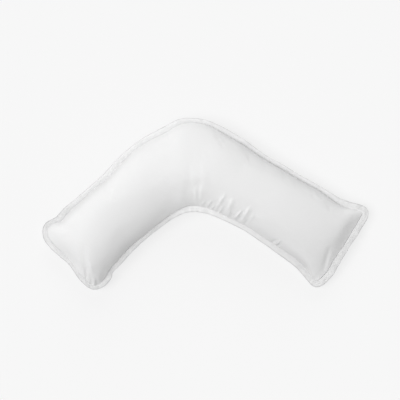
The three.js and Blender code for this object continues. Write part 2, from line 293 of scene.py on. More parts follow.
def top_form(row, across):
    """The sheet, lifted towards the crown by the fullness."""
    point = seam_sheet(row, across)
    point[..., 2] += (cubic_at("crown", row) - point[..., 2]) * fullness(row, across)
    return point


def under_form(row, across):
    """The sheet, let down past the floor by the fullness, and then rested on it."""
    point = seam_sheet(row, across)
    point[..., 2] = rest_on_floor(point[..., 2] - (point[..., 2] + CONTACT_SINK) * fullness(row, across))
    return point


# %% [markdown]
# A grid of the two parameters, row and across, becomes a mesh. Top and underside share the points of
# the seam, so the body is one closed skin with no double edge, which the cloth solver needs. The grid's
# lines crowd towards the two seams, where the cloth turns sharply. Two grids are made: a coarse one for
# the solver, and a fine one for the folds.

# %% The body's grids
CROWDING = 0.55
COARSE_CELLS = (216, 46)
FINE_CELLS = (480, 92)
MIDDLE_STEPS = 2000


def even_rows(count):
    """Rows of the table at equal distances along the middle of the V."""
    steps = np.linspace(0, LAST, MIDDLE_STEPS + 1)
    walked = np.concatenate([[0], np.cumsum(np.linalg.norm(np.diff(middle_of(steps), axis=0), axis=1))])
    return np.interp(np.linspace(0, walked[-1], count + 1), walked, steps)


def crowded(count):
    """Even steps from 0 to 1, drawn towards both ends by a share of half a cosine wave."""
    even = np.linspace(0, 1, count + 1)
    return even * (1 - CROWDING) + CROWDING * (1 - np.cos(np.pi * even)) / 2


def quads(ids):
    """Four-sided faces between neighbouring columns and rows of a grid of point numbers."""
    return np.stack([ids[:-1, :-1], ids[1:, :-1], ids[1:, 1:], ids[:-1, 1:]], axis=-1).reshape(-1, 4)


def skin_grid(length_cells, across_cells):
    """Parameters of a grid, and the point numbers of a top and an underside that share the grid's rim."""
    row, across = np.meshgrid(even_rows(length_cells), crowded(across_cells), indexing="ij")
    inside = np.zeros(row.shape, bool)
    inside[1:-1, 1:-1] = True
    top_ids = np.arange(row.size).reshape(row.shape)
    under_ids = top_ids.copy()
    under_ids[inside] = row.size + np.arange(inside.sum())
    return row, across, inside, top_ids, under_ids


def mesh_object(name, points, faces):
    """An object at the origin, with a smooth mesh of points in mm."""
    mesh = bpy.data.meshes.new(name)
    mesh.from_pydata((points * MM).tolist(), [], faces.tolist())
    mesh.update()
    mesh.shade_smooth()
    made = bpy.data.objects.new(name, mesh)
    bpy.context.scene.collection.objects.link(made)
    print(name, "faces:", len(faces))
    return made


def skin_object(name, top_points, under_points, grid):
    """One closed skin: the top's points, then the underside's inside the rim; the top's faces are turned."""
    row, across, inside, top_ids, under_ids = grid
    points = np.concatenate([top_points.reshape(-1, 3), under_points[inside]])
    return mesh_object(name, points, np.concatenate([quads(top_ids)[:, ::-1], quads(under_ids)]))


coarse = skin_grid(*COARSE_CELLS)
slack_top = top_form(*coarse[:2])
slack_under = under_form(*coarse[:2])
slack_skin = skin_object("slack_skin", slack_top, slack_under, coarse)

# %% [markdown]
# The filling presses the cloth out, and the seam, which is stronger than the cloth, holds it in. That is
# what rounds a real pillow and gives it soft wrinkles beside the seam. They could be sculpted by hand.
# Blender's cloth solver finds them by itself: the seam's points are pinned, the cloth is cut a little too
# large, and air pressure stands in for the filling. Only the distance that each point moved is kept.

# %% Press the cloth out
PRESSURE = 2.0
EXTRA_CLOTH = 0.002
SOLVER_STEPS = 12
SOLVER_QUALITY = 6
CLOTH_MASS = 0.3
CLOTH_BENDING = 0.1
MOST_PRESSED = 6.0


def press_out(obj, pinned):
    """Runs the cloth solver and returns how far each point of the mesh has moved, in mm."""
    start = np.empty(len(obj.data.vertices) * 3)
    obj.data.vertices.foreach_get("co", start)
    group = obj.vertex_groups.new(name="seam")
    group.add(pinned.tolist(), 1.0, "REPLACE")
    cloth = obj.modifiers.new("Cloth", "CLOTH")
    cloth.settings.quality = SOLVER_QUALITY
    cloth.settings.mass = CLOTH_MASS
    cloth.settings.bending_stiffness = CLOTH_BENDING
    cloth.settings.use_pressure = True
    cloth.settings.uniform_pressure_force = PRESSURE
    cloth.settings.vertex_group_mass = "seam"
    cloth.settings.shrink_min = -EXTRA_CLOTH
    cloth.settings.effector_weights.gravity = 0
    cloth.point_cache.frame_end = SOLVER_STEPS
    for step in range(1, SOLVER_STEPS + 1):
        bpy.context.scene.frame_set(step)
    solved = np.empty_like(start)
    obj.evaluated_get(bpy.context.evaluated_depsgraph_get()).data.vertices.foreach_get("co", solved)
    obj.modifiers.remove(cloth)
    bpy.context.scene.frame_set(1)
    return (solved - start).reshape(-1, 3) / MM


moved = press_out(slack_skin, coarse[3][~coarse[2]])
distance = np.linalg.norm(moved, axis=1, keepdims=True)
moved = moved * np.minimum(1, MOST_PRESSED / np.maximum(distance, 1e-6))
print("the cloth moved, mm: mean", round(distance.mean(), 2), "most", round(distance.max(), 2))
bpy.data.objects.remove(slack_skin)

# %% [markdown]
# The solver's movement is carried over to the fine grid. A subdivision surface would do that too, but a
# cubic between the coarse grid's lines keeps the two parameters, which the folds and the threads need.

# %% Carry the movement to the fine grid
def cubic_weights(fine, known):
    """Matrix that takes values at the known places to the fine ones, by a cubic through four neighbours."""
    near = np.clip(np.searchsorted(known, fine, side="right") - 1, 0, len(known) - 2)
    part = (fine - known[near]) / (known[near + 1] - known[near])
    weights = np.zeros((len(fine), len(known)))
    at = np.arange(len(fine))
    shares = (
        -part / 2 + part ** 2 - part ** 3 / 2,
        1 - 2.5 * part ** 2 + 1.5 * part ** 3,
        part / 2 + 2 * part ** 2 - 1.5 * part ** 3,
        (part ** 3 - part ** 2) / 2,
    )
    for offset, share in zip((-1, 0, 1, 2), shares):
        np.add.at(weights, (at, np.clip(near + offset, 0, len(known) - 1)), share)
    return weights


SEAM_FADE = 8


def from_seam(row, across):
    """Distance in mm to the nearest of the four seams."""
    width = np.linalg.norm(outer_seam(row) - inner_seam(row), axis=-1)
    return np.minimum(np.minimum(across, 1 - across) * width, np.minimum(from_left(row), from_right(row)))


fine = skin_grid(*FINE_CELLS)
fine_row, fine_across = fine[:2]
along_fine, along_coarse = (np.linspace(0, 1, cells[0] + 1) for cells in (FINE_CELLS, COARSE_CELLS))
along_weights = cubic_weights(along_fine, along_coarse)
across_weights = cubic_weights(crowded(FINE_CELLS[1]), crowded(COARSE_CELLS[1]))


def carried(ids):
    """The movement at the coarse grid's points, carried along and then across, and fading at the seam."""
    movement = np.einsum("fc,cak,ga->fgk", along_weights, moved[ids], across_weights)
    return movement * (1 - np.exp(-(from_seam(fine_row, fine_across) / SEAM_FADE) ** 2))[..., None]


body_top = top_form(fine_row, fine_across) + carried(coarse[3])
body_under = under_form(fine_row, fine_across) + carried(coarse[4])
print("ridge, mm:", round(body_top[..., 2].max(), 1))

# %% [markdown]
# Folds that show in the cloth: fine puckers where the seam gathers the inside of the bend, drawn-in
# creases at the corners, a valley along the right end, and some soft broad forms. A height map could
# carry them, but a table keeps each one a thing that can be moved. A fold runs from a foot near the seam
# to a tip. Its section is a bell, its rise is in millimetres, and a negative rise is a valley. The skew
# widens the bell on its right side, for a pucker that is crisp on the left and falls off softly.

# %% The folds
FOLD_COLUMNS = ("name", "foot_x", "foot_y", "tip_x", "tip_y", "wide", "rise", "skew")
FOLD_ROWS = (
    ("pucker faint left", -20, 4, -22, 40, 3.4, 1.8, 1.4),
    ("pucker faint", -12, 4, -6, 50, 3.6, 1.5, 1.6),
    ("pucker 1", -10, -4, -1, 7, 2.8, 2.8, 1.0),
    ("pucker 2", 1, -8, 13, 8, 2.8, 4.0, 1.0),
    ("trough 2", 4, -11, 11, -1, 2.2, -3.4, 1.0),
    ("pucker 3", 9, -14, 20, 0, 2.6, 4.2, 1.0),
    ("trough 3", 13, -16, 19, -7, 2.2, -3.8, 1.0),
    ("pucker 4", 17, -17, 41, 24, 2.8, 3.5, 1.5),
    ("trough 4", 22, -19, 28, -10, 2.2, -3.8, 1.0),
    ("pucker 5", 26, -20, 37, -3, 2.8, 4.4, 1.0),
    ("trough 5", 32, -23, 37, -14, 2.6, -3.2, 1.0),
    ("pucker 6", 42, -20, 57, 15, 3.0, 3.5, 2.0),
    ("pucker 7", 44, -28, 52, -11, 2.3, 4.2, 1.0),
    ("trough 7", 50, -30, 56, -20, 2.6, -3.2, 1.0),
    ("pucker 8", 55, -36, 75, -12, 2.4, 6.2, 1.2),
    ("trough 8", 65, -37, 75, -23, 3.0, -3.6, 1.0),
    ("pucker 9", 71, -40, 93, -2, 3.2, 3.9, 1.8),
    ("trough 9", 80, -44, 88, -32, 2.8, -3.4, 1.0),
    ("pucker 10", 91, -36, 101, -16, 3.0, 1.2, 1.0),
    ("bend trough", -33, 36, -34, 92, 8.0, -1.1, 1.0),
    ("bend ridge left", -50, 4, -49, 46, 7.0, 0.9, 1.0),
    ("left arm shoulder", -178, -83, -86, -8, 14.0, 1.5, 1.0),
    ("bend ridge", -3, 30, -2, 104, 9.0, 1.2, 1.0),
    ("arm tick", 120, -73, 125, -66, 2.6, 1.8, 1.0),
    ("arm wall", 110, -60, 198, -114, 9.0, -3.5, 1.0),
    ("arm trough left", 137, -81, 149, -74, 3.0, -7.0, 1.0),
    ("arm pucker", 142, -88, 157, -75, 2.5, 7.0, 1.0),
    ("arm trough right", 147, -89, 158, -81, 2.2, -4.2, 1.0),
    ("arm pucker 2", 151, -93, 158, -86, 2.2, 3.0, 1.0),
    ("lower left ridge", -258, -152, -260, -112, 5.0, 1.4, 1.0),
    ("lower left crease", -251, -161, -250, -128, 2.7, -7.0, 1.0),
    ("lower left long crease", -250, -140, -252, -76, 7.0, -2.8, 1.0),
    ("lower left ridge 2", -244, -166, -246, -138, 2.8, 3.8, 1.0),
    ("lower left ridge 3", -236, -156, -239, -118, 5.5, 1.8, 1.0),
    ("lower left crease 2", -241, -170, -240, -156, 2.2, -2.4, 1.0),
    ("lower left ridge 4", -235, -174, -233, -156, 2.2, 4.0, 1.0),
    ("lower left crease 3", -229, -171, -228, -152, 3.2, -3.4, 1.0),
    ("lower left crease 4", -220, -164, -215, -140, 5.0, -1.8, 1.0),
    ("upper left ridge", -287, -8, -302, -42, 3.4, 2.8, 1.0),
    ("upper left dent", -300, -23, -316, -40, 5.0, -3.0, 1.0),
    ("right corner dent", 268, -6, 316, -28, 8.0, -2.0, 1.0),
    ("right end valley", 312, -37, 272, -98, 8.5, -2.0, 1.0),
    ("right end trough", 258, -94, 245, -146, 5.0, -2.2, 1.0),
    ("right end ridge", 263, -108, 252, -149, 4.8, 1.3, 1.0),
    ("right tip ridge", 242, -169, 238, -152, 3.5, 2.0, 1.0),
    ("right tip crease", 231, -167, 228, -150, 3.5, -1.6, 1.0),
)
FOLD_CLEARANCE = 1.6
FOLD_FOOT = 0.12
fold = columns(FOLD_COLUMNS, FOLD_ROWS)


def fold_rise(x, y):
    """Sum of the folds: each a bell of the distance from its line, wider on its right by the skew.

    Along the line it swells as the root of a sine, and runs out softly at the tip.
    """
    run_x = fold["tip_x"] - fold["foot_x"]
    run_y = fold["tip_y"] - fold["foot_y"]
    run = np.hypot(run_x, run_y)
    from_x = x[..., None] - fold["foot_x"]
    from_y = y[..., None] - fold["foot_y"]
    along = (from_x * run_x + from_y * run_y) / run ** 2
    aside = (from_x * run_y - from_y * run_x) / run
    held = np.clip(along, 0, 1)
    wide = fold["wide"] * np.where(aside > 0, fold["skew"], 1)
    bell = np.exp(-(aside / wide) ** 2 - ((along - held) * run / fold["wide"]) ** 2)
    swell = np.sqrt(np.sin(np.pi * (FOLD_FOOT + (1 - FOLD_FOOT) * held)).clip(0))
    return (fold["rise"] * bell * swell * (1 - held ** 4)).sum(axis=-1)


fold_part = np.minimum(1, from_seam(*fine[:2]) / FOLD_CLEARANCE)
body_top[..., 2] += fold_part * fold_rise(body_top[..., 0], body_top[..., 1])
body_under[..., 2] = rest_on_floor(body_under[..., 2])
body = skin_object("filled_body", body_top, body_under, fine)
print("folds:", len(FOLD_ROWS))

# %% [markdown]
# Beside the seam the cloth is painted darker, as the shade that falls into the gathered crease there, more
# in some places than in others, and in a few places it is painted lighter instead. An image mask could say
# where. A short table is enough here: how much the white is darkened next to each place of the seam, where a
# negative share paints light, fading away from it as a bell. The mesh keeps it as a number for each point,
# which the finish reads later.

# %% Painted shade and light beside the seam
PAINTED_TONE_CENTRE, PAINTED_TONE_REACH = 3, 8
# painted shade beside the seam: a share darkens the white there, a negative share paints light
PAINTED_SEAM_TONE_COLUMNS = ("row", "share")
PAINTED_SEAM_TONE_ROWS = (
    (0.0, 0.03),
    (1.5, 0.05),
    (3.5, 0.09),
    (5.5, 0.08),
    (7.5, 0.03),
    (9.5, 0.00),
    (13.0, 0.01),
    (15.5, 0.06),
    (17.5, 0.06),
    (19.5, 0.10),
    (21.5, 0.07),
    (23.0, -0.02),
    (24.5, 0.00),
    (27.0, 0.00),
    (28.5, -0.04),
    (29.5, -0.08),
    (30.5, -0.08),
    (31.2, -0.02),
    (32.5, 0.05),
    (33.5, 0.16),
    (34.5, 0.13),
    (35.5, 0.08),
    (37.5, 0.02),
    (39.5, -0.03),
    (41.5, -0.03),
    (43.5, 0.00),
    (44.5, -0.05),
    (46.5, -0.05),
    (47.5, -0.02),
    (48.5, 0.05),
    (49.5, 0.09),
    (50.5, 0.09),
    (51.5, 0.04),
    (52.5, -0.05),
    (53.5, 0.03),
    (55.0, 0.00),
    (57.0, -0.04),
    (59.0, 0.00),
    (62.0, 0.03),
)
painted_seam_tone = columns(PAINTED_SEAM_TONE_COLUMNS, PAINTED_SEAM_TONE_ROWS)


# painted shade and light of the cover: the tone falls below 1 beside the seams, and rises above 1 where a
# share is negative
def tone_at(row, across):
    """One minus the shares of the four seams, each times a bell of the distance from its seam, in mm."""
    width = np.linalg.norm(outer_seam(row) - inner_seam(row), axis=-1)
    seams = (
        (row, across * width),
        (INNER_START + LAST - row, (1 - across) * width),
        (LAST + across * RIGHT_SPAN, from_right(row)),
        (SEAM_ROWS - across * LEFT_SPAN, from_left(row)),
    )
    tone = np.ones(row.shape)
    for seam_row, away in seams:
        share = np.interp(seam_row, painted_seam_tone["row"], painted_seam_tone["share"])
        tone -= share * np.exp(-((away - PAINTED_TONE_CENTRE) / PAINTED_TONE_REACH) ** 2)
    return tone


def give_tone(obj, tone):
    """Keeps a painted tone of light and shade for each point of the mesh, under the name "worn"."""
    layer = obj.data.attributes.new("painted_light_and_shade", "FLOAT", "POINT")
    layer.data.foreach_set("value", tone)


body_tone = tone_at(fine_row, fine_across)
give_tone(body, np.concatenate([body_tone.ravel(), body_tone[fine[2]]]))
print("tones of the cover:", round(body_tone.min(), 2), round(body_tone.max(), 2))

# %% [markdown]
# The weave needs to know where each point of the skin lay in the flat cloth. Blender could unwrap the
# mesh, but the answer is known: from the middle of a section, the cloth lies as far out in the flat cut
# as it is along the curved surface. That gives a UV map whose unit is one metre of cloth.

# %% Where the cloth was cut
def flat_cut(points, row):
    """Middle of the section, plus the distance along the surface from it, laid out straight across."""
    step = np.linalg.norm(np.diff(points, axis=1), axis=-1)
    walked = np.concatenate([np.zeros((len(points), 1)), np.cumsum(step, axis=1)], axis=1)
    half = points.shape[1] // 2
    side = (inner_seam(row) - outer_seam(row))[..., :2]
    side /= np.linalg.norm(side, axis=-1, keepdims=True)
    return middle_of(row) + side * (walked - walked[:, half:half + 1])[..., None]


def give_uv(obj, uv_of_corner):
    """UV map "cut", from a place in mm for each corner of each face."""
    layer = obj.data.uv_layers.new(name="cut")
    layer.data.foreach_set("uv", (uv_of_corner * MM).ravel())


def corner_values(values):
    """Values of a grid at the four corners of each cell, in the order of quads."""
    return np.stack([values[:-1, :-1], values[1:, :-1], values[1:, 1:], values[:-1, 1:]], axis=2)


top_cut = corner_values(flat_cut(body_top, fine_row))[:, :, ::-1].reshape(-1, 2)
under_cut = corner_values(flat_cut(body_under, fine_row)).reshape(-1, 2)
give_uv(body, np.concatenate([top_cut, under_cut]))
print("cut panel, mm:", np.ptp(top_cut, axis=0).round())

# %% [markdown]
# The edge strip is a narrow strip of the same cotton, folded double, sewn into the seam and stitched once
# more along its middle. It could be a curve with a bevel, but its width changes along the pillow, widest at
# the corners, so a small section is carried round the seam instead. The section's two puffs with the
# stitched dip between them are what gives the edge its double line. A second table holds how the strip lies
# and how it is painted round the seam: how far it curls up or down, how puffed it is, how white it is
# painted there as painted light and shade, and how much painted shade its root and its rim get there.

# %% The edge strip
SEAM_OVERLAP = 1.0
STRIP_CELLS = 2000
NEAR_ROW = 0.02
STRIP_COLUMNS = ("out", "thick", "lift")
STRIP_ROWS = (
    (0.00, 2.0, -0.8),
    (0.10, 2.2, -0.7),
    (0.22, 2.8, -0.3),
    (0.34, 3.2, 0.0),
    (0.45, 2.8, 0.1),
    (0.55, 3.4, 0.3),
    (0.66, 3.7, 0.3),
    (0.77, 3.5, 0.2),
    (0.87, 2.9, 0.0),
    (0.95, 1.8, -0.2),
    (1.00, 0.0, -0.3),
)
# white, root and rim are painted light and shade: white is how bright the strip is painted at each place,
# root and rim how much painted shade its root and its rim get there
LIE_COLUMNS = ("row", "curl", "puff", "white", "root", "rim")
LIE_ROWS = (
    (0.0, 2.0, 0.5, 0.80, 0.0, 1.4),
    (1.5, 5.0, 0.6, 0.82, 0.0, 1.4),
    (3.0, 4.0, 0.7, 0.84, 0.7, 1.2),
    (4.5, 1.0, 0.8, 0.87, 0.8, 1.1),
    (9.0, 0.0, 0.8, 0.89, 0.8, 0.8),
    (12.0, 0.0, 1.0, 0.88, 1.0, 1.0),
    (14.0, 0.0, 1.0, 0.84, 1.3, 0.0),
    (20.0, 0.0, 1.0, 0.84, 1.2, 0.0),
    (23.0, 0.0, 0.4, 0.85, 0.0, 1.0),
    (25.0, -2.5, 0.3, 0.81, 0.0, 0.0),
    (29.5, -2.5, 0.3, 0.82, 0.0, 0.0),
    (31.5, -1.0, 0.3, 0.90, 0.3, 1.4),
    (33.5, -2.0, 0.4, 0.86, 1.0, 1.1),
    (36.0, -4.0, 0.4, 0.87, 1.2, 1.3),
    (39.0, -5.0, 0.4, 0.94, 0.4, 1.1),
    (43.0, -4.0, 0.4, 1.00, 0.0, 0.9),
    (45.5, -3.0, 0.4, 0.98, 0.0, 0.7),
    (47.5, -3.0, 0.9, 0.87, 0.4, 0.0),
    (50.0, -3.0, 1.0, 0.87, 0.0, 0.0),
    (52.5, -3.0, 0.7, 0.92, 0.0, 0.2),
    (55.5, 0.0, 0.6, 0.86, 0.0, 1.3),
    (57.0, 0.0, 0.3, 0.88, 0.0, 1.2),
    (59.5, 0.0, 0.3, 0.85, 0.0, 1.2),
    (61.0, 0.0, 0.3, 0.80, 0.0, 1.3),
    (62.0, 2.0, 0.5, 0.80, 0.0, 1.4),
)
STITCH_LINE = 0.45
strip_section = columns(STRIP_COLUMNS, STRIP_ROWS)
lie = columns(LIE_COLUMNS, LIE_ROWS)


def lie_at(name, row):
    """How the strip lies and looks at a place round the seam: a column of its table, between the rows."""
    return np.interp(row % SEAM_ROWS, lie["row"], lie[name])


def outward_at(row):
    """Level direction away from the pillow, square to the seam."""
    ahead = (seam_at(row + NEAR_ROW) - seam_at(row - NEAR_ROW))[..., :2]
    ahead /= np.linalg.norm(ahead, axis=-1, keepdims=True)
    return np.stack([-ahead[..., 1], ahead[..., 0], np.zeros(ahead.shape[:-1])], axis=-1)


LONG_WAVE, LONG_WAVES = 1.0, 46
SHORT_WAVE, SHORT_WAVE_MM, SHORT_WAVE_DRIFT_MM = 0.35, 3.7, 31
GATHER, GATHER_MM, GATHER_REACH = 0.10, 6.2, 0.16
DENTS, DENT_SEED = 70, 5
DENT_LINE, DENT_REACH = 0.75, 0.25
DENT_LONG, DENT_DEEP = (3, 7), (0.3, 1.2)
CORNER_DENT_LONG, CORNER_DENT_DEEP = 2.6, 1.3
CORNER_DENT_ROWS = np.array([0.6, 1.3, 1.9, 2.5, 23.6, 24.1, 24.6, 30.5, 30.9, 31.3, 31.8, 54.6, 55.2, 55.8])
CORNER_DENTS = len(CORNER_DENT_ROWS)
dents = np.random.default_rng(DENT_SEED)
corner_dent_at = np.interp(CORNER_DENT_ROWS, walk_rows, walk_mm)
dent_at = np.concatenate([dents.uniform(0, SEAM_LENGTH, DENTS), corner_dent_at])
dent_long = np.concatenate([dents.uniform(*DENT_LONG, DENTS), np.full(CORNER_DENTS, CORNER_DENT_LONG)])
dent_deep = np.concatenate([dents.uniform(*DENT_DEEP, DENTS), np.full(CORNER_DENTS, CORNER_DENT_DEEP)])


def ripple(row, out):
    """Lift of the strip: its curl, a long wave, a short one, gathers at the stitches, dents near the rim."""
    walked = np.interp(row, walk_rows, walk_mm)
    long_wave = LONG_WAVE * np.sin(2 * np.pi * LONG_WAVES * row / SEAM_ROWS) * out ** 2
    drift = np.sin(walked / SHORT_WAVE_DRIFT_MM)
    short_wave = SHORT_WAVE * np.sin(walked / SHORT_WAVE_MM + drift) * out
    at_stitches = np.exp(-((out - STITCH_LINE) / GATHER_REACH) ** 2)
    gathers = GATHER * np.sin(2 * np.pi * walked / GATHER_MM) * at_stitches
    near_rim = np.exp(-((out - DENT_LINE) / DENT_REACH) ** 2)
    dented = np.exp(-((walked[..., None] - dent_at) / dent_long) ** 2) @ dent_deep * near_rim
    return lie_at("curl", row) * out + long_wave + short_wave + gathers - dented


def strip_form(row, out, thick):
    """The seam's point, moved outward by a share of the width, and up by the lifts and half a thickness."""
    reach = out * (SEAM_OVERLAP + strip_width_at(row)) - SEAM_OVERLAP
    point = seam_at(row) + outward_at(row) * reach[..., None]
    section_lift = np.interp(out, strip_section["out"], strip_section["lift"]) + thick / 2
    point[..., 2] += lie_at("puff", row) * section_lift + ripple(row, out)
    return point


ring_out = np.concatenate([strip_section["out"], strip_section["out"][-2::-1]])
ring_thick = np.concatenate([strip_section["thick"], -strip_section["thick"][-2::-1]])
strip_rows = np.interp(np.linspace(0, SEAM_LENGTH, STRIP_CELLS + 1), walk_mm, walk_rows)
ring_row, ring_out = np.meshgrid(strip_rows[:-1], ring_out, indexing="ij")
ring_thick = np.broadcast_to(ring_thick, ring_row.shape)
strip_points = strip_form(ring_row, ring_out, ring_thick)
ring_ids = np.pad(np.arange(ring_row.size).reshape(ring_row.shape), ((0, 1), (0, 1)), mode="wrap")
strip = mesh_object("edge_band", strip_points.reshape(-1, 3), quads(ring_ids))

# %% [markdown]
# The strip's threads run along it and across it, so its UV map is the distance round the seam and the
# distance round the section. Each point also keeps a painted tone for the strip's finish: painted shade,
# most along the rim and a little in the root and the stitched dip, times how bright the strip is painted at
# that place round the seam. A dirt shader could find shade like this, but that would look at the light
# around each point, and these are plain numbers on the mesh that stay the same everywhere.

# %% The strip's cloth
section_step = np.hypot(np.diff(ring_out[0]) * strip_width_at(np.zeros(1)), np.diff(ring_thick[0]) / 2)
section_round = section_step.sum() + strip_section["thick"][0]
section_walk = np.concatenate([[0], np.cumsum(section_step), [section_round]])
strip_u, strip_v = np.meshgrid(np.interp(strip_rows, walk_rows, walk_mm), section_walk, indexing="ij")
give_uv(strip, corner_values(np.stack([strip_u, strip_v], axis=-1)).reshape(-1, 2))
# painted shade across the strip's section: in its root, in the stitched dip and along its rim
STRIP_SHADE_COLUMNS = ("out", "root", "rim")
STRIP_SHADE_ROWS = (
    (0.00, 0.08, 0.00),
    (0.14, 0.05, 0.00),
    (0.30, 0.00, 0.00),
    (0.45, 0.03, 0.00),
    (0.56, 0.00, 0.00),
    (0.80, 0.00, 0.00),
    (0.90, 0.00, 0.10),
    (1.00, 0.00, 0.26),
)
strip_shade = columns(STRIP_SHADE_COLUMNS, STRIP_SHADE_ROWS)
# the strip's painted tone: its painted brightness round the seam, darkened by painted shade in its root and
# along its rim
tones = lie_at("white", ring_row)
for part in ("root", "rim"):
    tones = tones * (1 - np.interp(ring_out, strip_shade["out"], strip_shade[part]) * lie_at(part, ring_row))
give_tone(strip, tones.ravel())
print("strip round the seam, mm:", round(strip_u.max()))

# %% [markdown]
# The stitches are a lockstitch, about 3 mm long, that shows on both faces of the strip. A texture could
# draw them, but a real stitch casts a small shadow and pulls its two ends into the cloth. Each one here
# is a short tapered tube of a few faces that follows the strip, and all of them are one mesh.

# %% The stitches
STITCH_PITCH = 4.0
STITCH_LONG = 3.0
THREAD_RADIUS = 0.3
STITCH_COLUMNS = ("along", "radius", "lift")
STITCH_STEPS = (
    (-0.50, 0.15, -0.35),
    (-0.38, 0.80, 0.00),
    (0.00, 1.00, 0.30),
    (0.38, 0.80, 0.00),
    (0.50, 0.15, -0.35),
)
THREAD_SIDES = 6
stitch_step = columns(STITCH_COLUMNS, STITCH_STEPS)
stitch_count = int(SEAM_LENGTH / STITCH_PITCH)
stitch_at = (np.arange(stitch_count) + 0.5) * SEAM_LENGTH / stitch_count


def stitch_tubes(face):
    """Tubes on the strip's face (1 for the top, -1 for the underside): rings of the thread's radius."""
    walked = stitch_at[:, None] + stitch_step["along"] * STITCH_LONG
    row = np.interp(walked, walk_mm, walk_rows)
    thick = face * np.interp(STITCH_LINE, strip_section["out"], strip_section["thick"])
    centre = strip_form(row, np.full(row.shape, STITCH_LINE), thick)
    centre[..., 2] += face * (stitch_step["lift"] * THREAD_RADIUS + THREAD_RADIUS / 2)
    turn = np.arange(THREAD_SIDES) * 2 * np.pi / THREAD_SIDES
    aside = outward_at(row)[..., None, :] * np.cos(turn)[:, None]
    up = np.array([0, 0, 1.0]) * np.sin(turn)[:, None]
    return centre[..., None, :] + (aside + up) * (stitch_step["radius"] * THREAD_RADIUS)[:, None, None]


tubes = np.concatenate([stitch_tubes(1), stitch_tubes(-1)])
tube_ids = np.arange(tubes.size // 3).reshape(tubes.shape[:3])
tube_ids = np.concatenate([tube_ids, tube_ids[:, :, :1]], axis=2)
near_ring, far_ring = tube_ids[:, :-1], tube_ids[:, 1:]
# the tube's sides, then each of its two six-sided ends as two faces of four corners
tube_parts = [
    np.stack([near_ring[..., :-1], near_ring[..., 1:], far_ring[..., 1:], far_ring[..., :-1]], axis=-1),
    tube_ids[:, 0, [3, 2, 1, 0]],
    tube_ids[:, 0, [5, 4, 3, 0]],
    tube_ids[:, -1, [0, 1, 2, 3]],
    tube_ids[:, -1, [0, 3, 4, 5]],
]
tube_faces = np.concatenate([faces.reshape(-1, 4) for faces in tube_parts])
stitches = mesh_object("edge_stitches", tubes.reshape(-1, 3), tube_faces)
print("stitches:", stitch_count, "on each face")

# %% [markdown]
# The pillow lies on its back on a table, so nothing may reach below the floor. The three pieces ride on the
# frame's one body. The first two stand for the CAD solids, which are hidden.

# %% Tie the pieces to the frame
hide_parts("pillow_body")
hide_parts("edge_strip")
for piece in (body, strip, stitches):
    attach(piece, "root")
print("pieces:", [piece.name for piece in (body, strip, stitches)])

# %% [markdown]
# Every colour below is written as it looks on a screen, in hex, and one function turns it to the linear
# values that a shader works in. Another small function adds a node with its settings and its links, so
# that a material reads from top to bottom like a recipe.

# %% Helpers for the materials
def linear(value):
    """sRGB hex to linear: a straight part near black, a power of 2.4 above it."""
    parts = np.array([int(value[k:k + 2], 16) for k in (1, 3, 5)]) / 255
    parts = np.where(parts <= 0.04045, parts / 12.92, ((parts + 0.055) / 1.055) ** 2.4)
    return (*parts.tolist(), 1.0)


def add(tree, kind, settings=None, links=None):
    """Adds a node; a setting is a socket's value or a property, a link is a socket that feeds one here."""
    made = tree.nodes.new(kind)
    for name, value in (settings or {}).items():
        if name in made.inputs:
            made.inputs[name].default_value = value
        else:
            setattr(made, name, value)
    for name, source in (links or {}).items():
        tree.links.new(source, made.inputs[name])
    return made


def new_material(name):
    """A material with its node tree and its shader."""
    material = bpy.data.materials.new(name)
    material.use_nodes = True
    tree = material.node_tree
    return material, tree, tree.nodes["Principled BSDF"]


def wave_scale(band_mm):
    """Scale of a wave texture whose bands are so wide: it turns by 20 radians times its scale in a metre."""
    return 2 * np.pi / (20 * band_mm * MM)


print("white as linear:", round(linear("#e7e7e7")[0], 3))

# %% [markdown]
# The cover is a fine plain-woven cotton, brushed a little, bleached white. Up close it shows threads that
# pass over and under each other, with some thicker than others. From a step away it is a smooth soft
# white with no gloss and a faint sheen where it turns away. A real thread of it is about 0.3 mm wide. It
# is drawn 0.8 mm wide so that it shows in a close view. From where the photograph was taken neither would.

# %% Woven cotton of the cover
THREAD_MM = 0.8
SLUB_LONG_MM, SLUB_WIDE_MM = 11.0, 0.7
FUZZ_MM = 3.8


